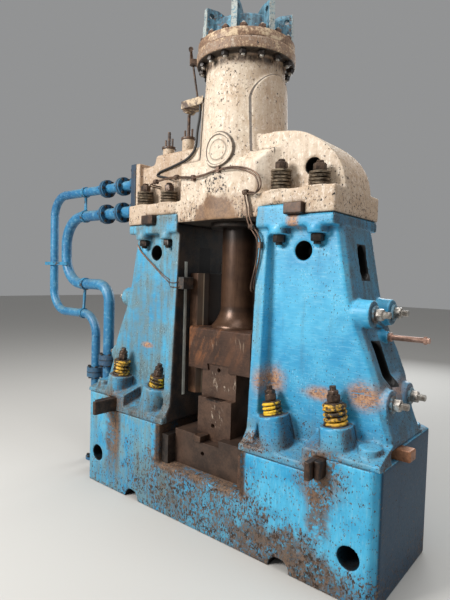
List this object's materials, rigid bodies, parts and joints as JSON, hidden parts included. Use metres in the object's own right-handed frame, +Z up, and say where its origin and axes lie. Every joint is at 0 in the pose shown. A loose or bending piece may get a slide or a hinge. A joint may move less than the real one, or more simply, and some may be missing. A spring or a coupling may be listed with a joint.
{
  "type": "forging hammer",
  "caption": "Double-acting closed-die forging hammer with a vertical sliding ram between two columns on an anvil block.",
  "frame": {"origin": "on the floor, under the centre line of the ram", "axes": "+Z up along the ram's stroke, +X along the anvil block towards the right-hand column, -Y to the operator's side"},
  "size_m": [3.55, 1.17, 3.399],
  "materials": {
    "blue_paint": "chipped gloss paint",
    "cream_paint": "speckled worn paint",
    "dark_blue_paint": "dirty paint",
    "yellow_spring": "worn paint",
    "black_spring": "oily black",
    "worn_steel": "worn brown steel",
    "blue_steel": "over-painted steel",
    "black_rubber": "matt black hose",
    "copper_tube": "dull tarnished tube",
    "dark_steel": "oily dark steel"
  },
  "bodies": {
    "frame": {"anvil_block": "blue_paint", "chest_end_plate": "dark_blue_paint", "cover_bolts": "dark_steel", "cylinder_block": "cream_paint", "cylinder_cover": "blue_paint", "inlet_pipe": "blue_paint", "left_cap_bolts": "dark_steel", "left_cap_keys": "dark_steel", "left_cap_springs": "black_spring", "left_column": "blue_paint", "left_foot_bolts": "dark_steel", "left_foot_springs": "yellow_spring", "left_front_keys": "dark_steel", "left_guide": "worn_steel", "left_side_bolts": "blue_steel", "left_side_key": "dark_steel", "left_sow_key": "dark_steel", "lever_bracket": "cream_paint", "lever_rod": "dark_steel", "lower_die": "worn_steel", "lower_die_key": "dark_steel", "lubricator": "dark_steel", "oil_hose": "black_rubber", "oil_tubes": "copper_tube", "outlet_pipe": "blue_paint", "packing_gland": "black_spring", "pipe_clamps": "blue_paint", "right_cap_bolts": "dark_steel", "right_cap_keys": "dark_steel", "right_cap_springs": "black_spring", "right_column": "blue_paint", "right_foot_bolts": "dark_steel", "right_foot_springs": "yellow_spring", "right_front_keys": "dark_steel", "right_guide": "worn_steel", "right_side_bolts": "blue_steel", "right_side_key": "dark_steel", "right_sow_key": "dark_steel", "side_shaft": "dark_steel", "sow_block": "worn_steel", "throttle_gland": "cream_paint", "valve_gland": "cream_paint"},
    "tup": {"ram": "worn_steel", "piston_rod": "worn_steel", "upper_die": "worn_steel"}
  },
  "joints": [
    {"name": "ram_slide", "type": "slide", "parent": "frame", "child": "tup", "axis": [0, 0, 1], "range_m": [0, 0.5]}
  ]
}
